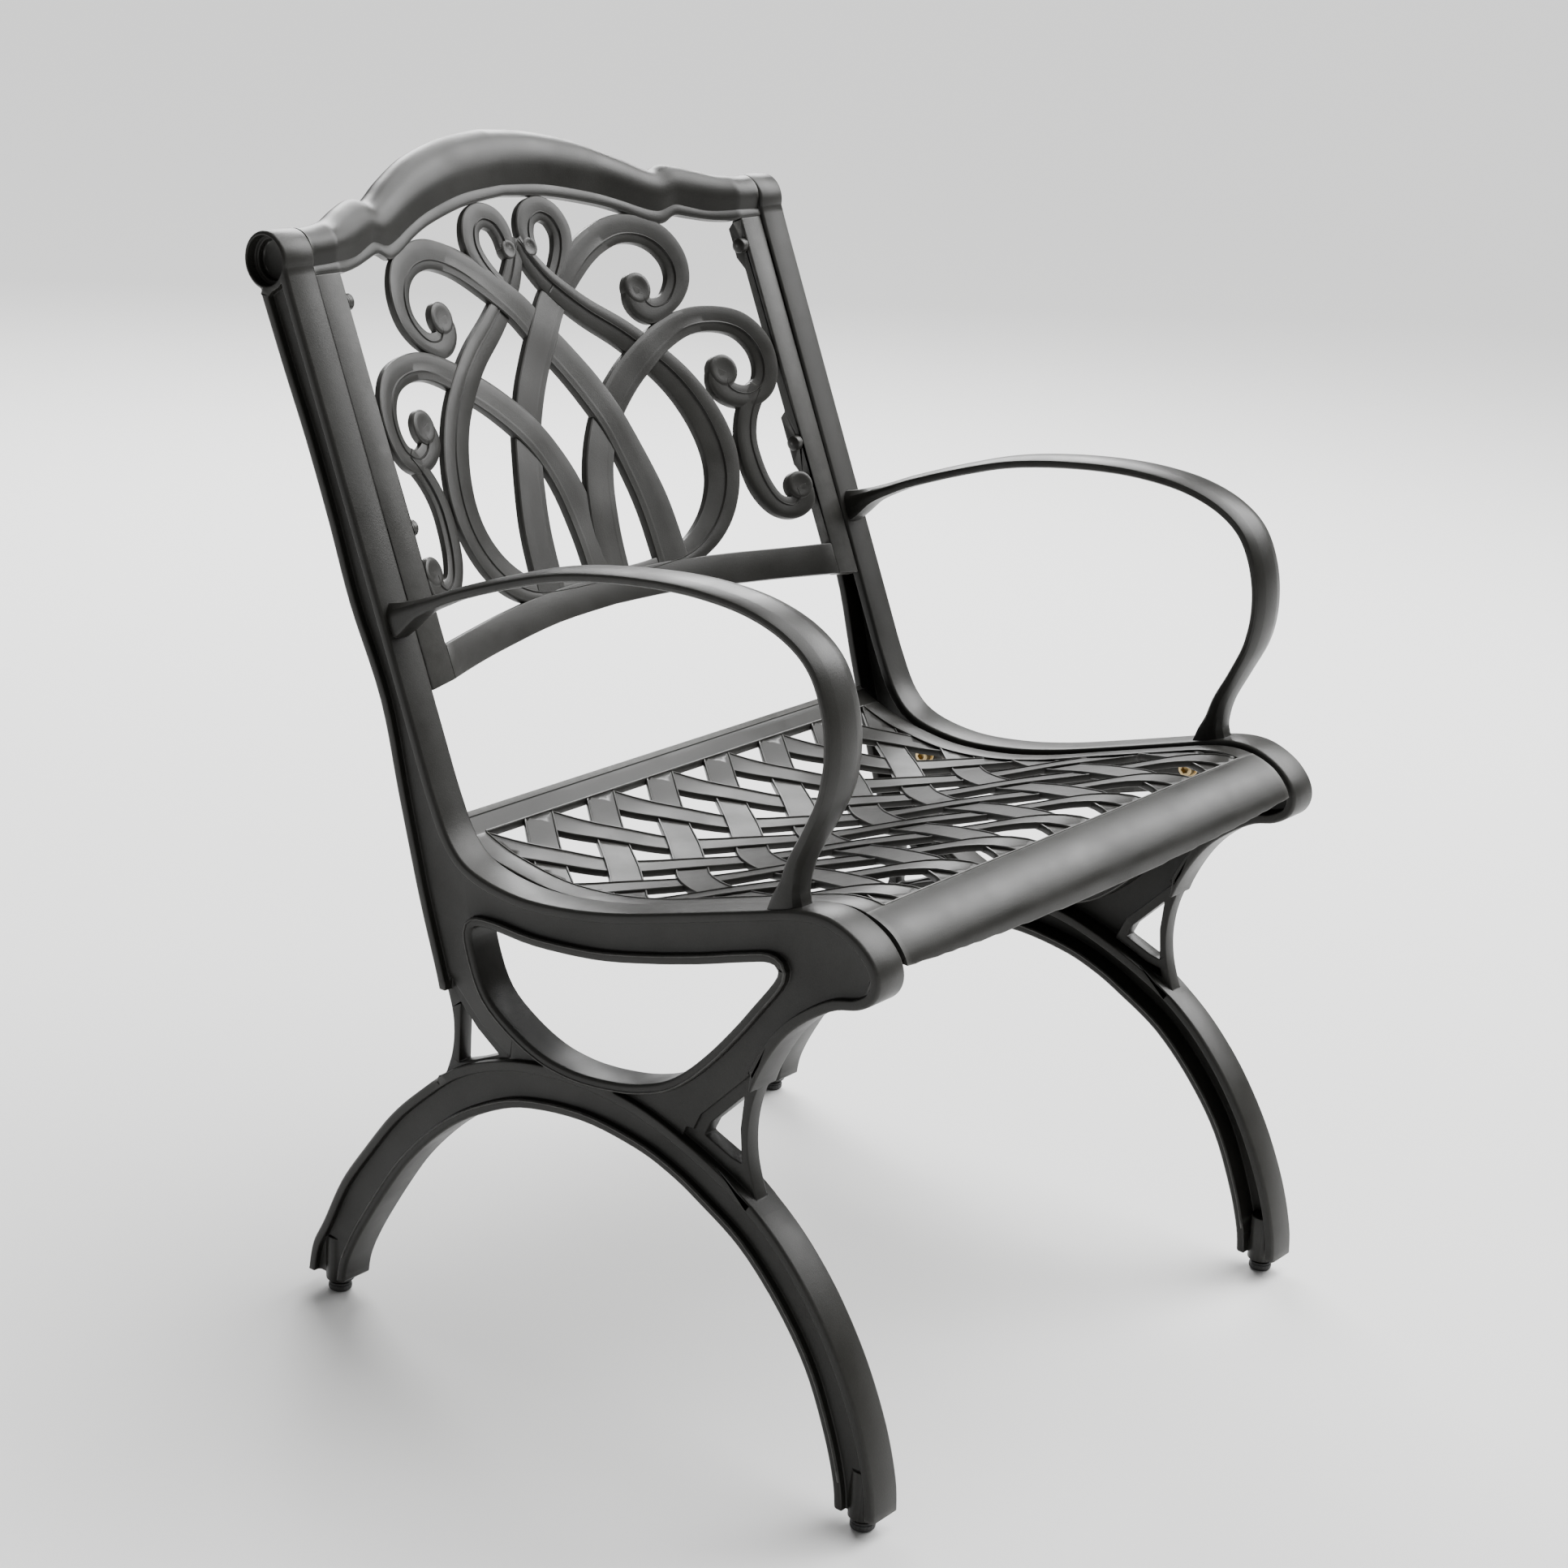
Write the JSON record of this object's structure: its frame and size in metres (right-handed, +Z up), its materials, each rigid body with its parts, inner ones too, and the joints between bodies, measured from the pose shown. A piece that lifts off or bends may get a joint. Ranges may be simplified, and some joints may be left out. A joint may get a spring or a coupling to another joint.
{
  "type": "garden armchair",
  "caption": "Cast aluminium garden armchair with scrollwork back, woven lattice seat, looped arms and bowed legs on screw-in glides.",
  "frame": {"origin": "middle of the chair's box, on the floor", "axes": "+Z up, the chair faces -Y, +X to the right of someone looking at its front along +Y"},
  "size_m": [0.627, 0.7319, 0.9265],
  "materials": {
    "charcoal_coat": "satin charcoal powder coat over sand-cast aluminium, with a fine cast texture and slightly lighter edges",
    "zinc": "yellow zinc-plated steel",
    "nylon": "moulded black nylon"
  },
  "bodies": {
    "frame": {"side_frame_left": "charcoal_coat", "side_frame_right": "charcoal_coat", "armrest_left": "charcoal_coat", "armrest_right": "charcoal_coat", "back_stile_left": "charcoal_coat", "back_stile_right": "charcoal_coat", "crest_rail": "charcoal_coat", "lower_back_rail": "charcoal_coat", "back_scrollwork": "charcoal_coat", "back_screws": "charcoal_coat", "back_screw_washers": "charcoal_coat", "back_screw_caps": "charcoal_coat", "seat_lattice": "charcoal_coat", "seat_side_bar_left": "charcoal_coat", "seat_side_bar_right": "charcoal_coat", "seat_rear_bar": "charcoal_coat", "front_apron": "charcoal_coat", "seat_screws": "zinc", "seat_screw_washers": "zinc"},
    "stud_front_left": {"foot_stud_front_left": "zinc"},
    "pad_front_left": {"foot_pad_front_left": "nylon"},
    "stud_front_right": {"foot_stud_front_right": "zinc"},
    "pad_front_right": {"foot_pad_front_right": "nylon"},
    "stud_rear_left": {"foot_stud_rear_left": "zinc"},
    "pad_rear_left": {"foot_pad_rear_left": "nylon"},
    "stud_rear_right": {"foot_stud_rear_right": "zinc"},
    "pad_rear_right": {"foot_pad_rear_right": "nylon"}
  },
  "joints": [
    {"name": "height_front_left", "type": "slide", "parent": "frame", "child": "stud_front_left", "axis": [0, 0, -1], "range_m": [-0.00125, 0.00625]},
    {"name": "turn_front_left", "type": "hinge", "parent": "stud_front_left", "child": "pad_front_left", "pos_m": [-0.2935, -0.3463, 0.008], "axis": [0, 0, -1], "range_deg": [-361, 1801]},
    {"name": "height_front_right", "type": "slide", "parent": "frame", "child": "stud_front_right", "axis": [0, 0, -1], "range_m": [-0.00125, 0.00625]},
    {"name": "turn_front_right", "type": "hinge", "parent": "stud_front_right", "child": "pad_front_right", "pos_m": [0.2935, -0.3463, 0.008], "axis": [0, 0, -1], "range_deg": [-361, 1801]},
    {"name": "height_rear_left", "type": "slide", "parent": "frame", "child": "stud_rear_left", "axis": [0, 0, -1], "range_m": [-0.00125, 0.00625]},
    {"name": "turn_rear_left", "type": "hinge", "parent": "stud_rear_left", "child": "pad_rear_left", "pos_m": [-0.2935, 0.2017, 0.008], "axis": [0, 0, -1], "range_deg": [-361, 1801]},
    {"name": "height_rear_right", "type": "slide", "parent": "frame", "child": "stud_rear_right", "axis": [0, 0, -1], "range_m": [-0.00125, 0.00625]},
    {"name": "turn_rear_right", "type": "hinge", "parent": "stud_rear_right", "child": "pad_rear_right", "pos_m": [0.2935, 0.2017, 0.008], "axis": [0, 0, -1], "range_deg": [-361, 1801]}
  ],
  "couplings": [
    {"joint": "turn_front_left", "follows": "height_front_left", "rad_per_m": 5026.5},
    {"joint": "turn_front_right", "follows": "height_front_right", "rad_per_m": 5026.5},
    {"joint": "turn_rear_left", "follows": "height_rear_left", "rad_per_m": 5026.5},
    {"joint": "turn_rear_right", "follows": "height_rear_right", "rad_per_m": 5026.5}
  ]
}
